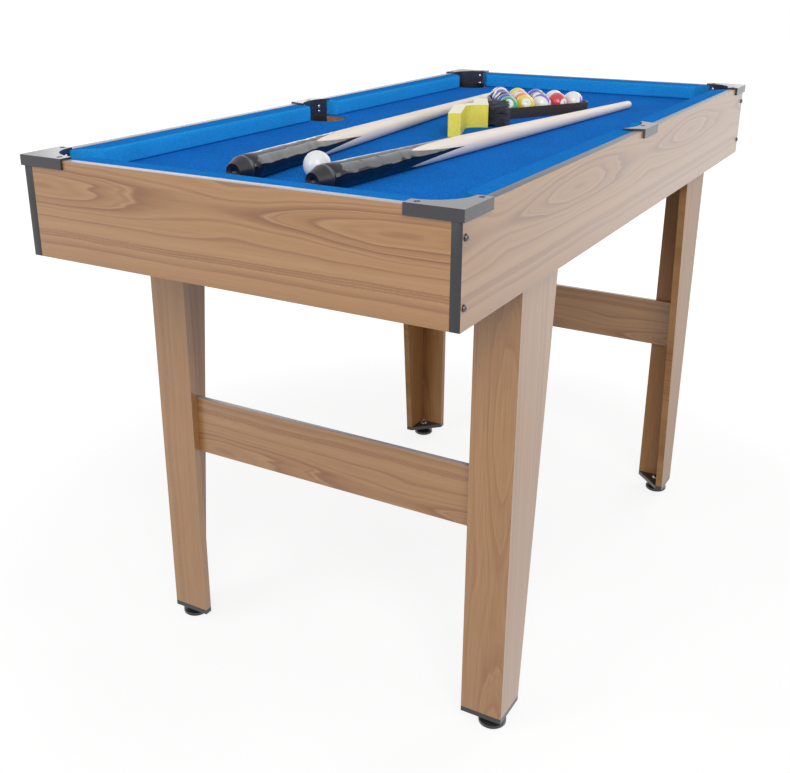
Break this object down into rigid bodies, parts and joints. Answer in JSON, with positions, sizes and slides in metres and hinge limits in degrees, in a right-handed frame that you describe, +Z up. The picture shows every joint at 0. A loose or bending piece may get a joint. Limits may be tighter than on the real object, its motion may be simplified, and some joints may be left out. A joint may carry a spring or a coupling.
{
  "type": "mini billiard table",
  "caption": "Small billiard table: cloth bed and cushions in a wood apron, drop pockets, L-section legs with levelling feet, and a play set on the cloth.",
  "frame": {"origin": "on the floor under the middle of the table", "axes": "Z up, Y along the table's length with the cue butts at -Y, X across its width"},
  "size_m": [0.6, 1.22, 0.7773],
  "materials": {
    "raw_board": "raw fibreboard",
    "bed_felt": "short felt",
    "panel_wood": "satin wood-grain laminate",
    "cushion_felt": "short felt",
    "pocket_plastic": "satin moulded",
    "leg_wood": "satin wood-grain laminate",
    "foot_plastic": "matte moulded",
    "cue_wood": "lacquered, dark sleeve at the butt",
    "cue_rubber": "matte",
    "rack_plastic": "satin moulded",
    "cue_ball_resin": "polished",
    "ball_resin": "polished, coloured",
    "brush_wood": "lacquered",
    "brush_bristle": "fine strands"
  },
  "bodies": {
    "table": {"bed_board": "raw_board", "bed_cloth": "bed_felt", "bed_stiffener": "raw_board", "side_panel_left": "panel_wood", "side_panel_right": "panel_wood", "end_panel_front": "panel_wood", "end_panel_back": "panel_wood", "cushion_front": "cushion_felt", "cushion_back": "cushion_felt", "cushion_left_front": "cushion_felt", "cushion_left_back": "cushion_felt", "cushion_right_front": "cushion_felt", "cushion_right_back": "cushion_felt", "pocket_left_front": "pocket_plastic", "pocket_left_middle": "pocket_plastic", "pocket_left_back": "pocket_plastic", "pocket_right_front": "pocket_plastic", "pocket_right_middle": "pocket_plastic", "pocket_right_back": "pocket_plastic", "leg_end_left_front": "leg_wood", "leg_side_left_front": "leg_wood", "leg_end_left_back": "leg_wood", "leg_side_left_back": "leg_wood", "leg_end_right_front": "leg_wood", "leg_side_right_front": "leg_wood", "leg_end_right_back": "leg_wood", "leg_side_right_back": "leg_wood", "stretcher_front": "leg_wood", "stretcher_back": "leg_wood", "foot_plate_left_front": "foot_plastic", "foot_plate_left_back": "foot_plastic", "foot_plate_right_front": "foot_plastic", "foot_plate_right_back": "foot_plastic"},
    "foot_left_front": {"levelling_foot_left_front": "foot_plastic"},
    "foot_left_back": {"levelling_foot_left_back": "foot_plastic"},
    "foot_right_front": {"levelling_foot_right_front": "foot_plastic"},
    "foot_right_back": {"levelling_foot_right_back": "foot_plastic"},
    "cue_left_set": {"cue_left": "cue_wood", "cue_bumper_left": "cue_rubber"},
    "cue_right_set": {"cue_right": "cue_wood", "cue_bumper_right": "cue_rubber"},
    "rack_frame": {"rack": "rack_plastic"},
    "object_balls": {"ball_01": "ball_resin", "ball_02": "ball_resin", "ball_03": "ball_resin", "ball_04": "ball_resin", "ball_05": "ball_resin", "ball_06": "ball_resin", "ball_07": "ball_resin", "ball_08": "ball_resin", "ball_09": "ball_resin", "ball_10": "ball_resin", "ball_11": "ball_resin", "ball_12": "ball_resin", "ball_13": "ball_resin", "ball_14": "ball_resin", "ball_15": "ball_resin"},
    "cue_ball_body": {"cue_ball": "cue_ball_resin"},
    "brush": {"brush_handle": "brush_wood", "brush_bristles": "brush_bristle"}
  },
  "joints": [
    {"name": "foot_left_front_screw", "type": "slide", "parent": "table", "child": "foot_left_front", "axis": [0, 0, 1], "range_m": [-0.004, 0]},
    {"name": "foot_left_back_screw", "type": "slide", "parent": "table", "child": "foot_left_back", "axis": [0, 0, 1], "range_m": [-0.004, 0]},
    {"name": "foot_right_front_screw", "type": "slide", "parent": "table", "child": "foot_right_front", "axis": [0, 0, 1], "range_m": [-0.004, 0]},
    {"name": "foot_right_back_screw", "type": "slide", "parent": "table", "child": "foot_right_back", "axis": [0, 0, 1], "range_m": [-0.004, 0]},
    {"name": "cue_left_set_lift", "type": "slide", "parent": "table", "child": "cue_left_set", "axis": [0, 0, 1], "range_m": [0, 0.15]},
    {"name": "cue_right_set_lift", "type": "slide", "parent": "table", "child": "cue_right_set", "axis": [0, 0, 1], "range_m": [0, 0.15]},
    {"name": "rack_frame_lift", "type": "slide", "parent": "table", "child": "rack_frame", "axis": [0, 0, 1], "range_m": [0, 0.1]},
    {"name": "object_balls_lift", "type": "slide", "parent": "table", "child": "object_balls", "axis": [0, 0, 1], "range_m": [0, 0.1]},
    {"name": "cue_ball_body_lift", "type": "slide", "parent": "table", "child": "cue_ball_body", "axis": [0, 0, 1], "range_m": [0, 0.1]},
    {"name": "brush_lift", "type": "slide", "parent": "table", "child": "brush", "axis": [0, 0, 1], "range_m": [0, 0.12]}
  ]
}
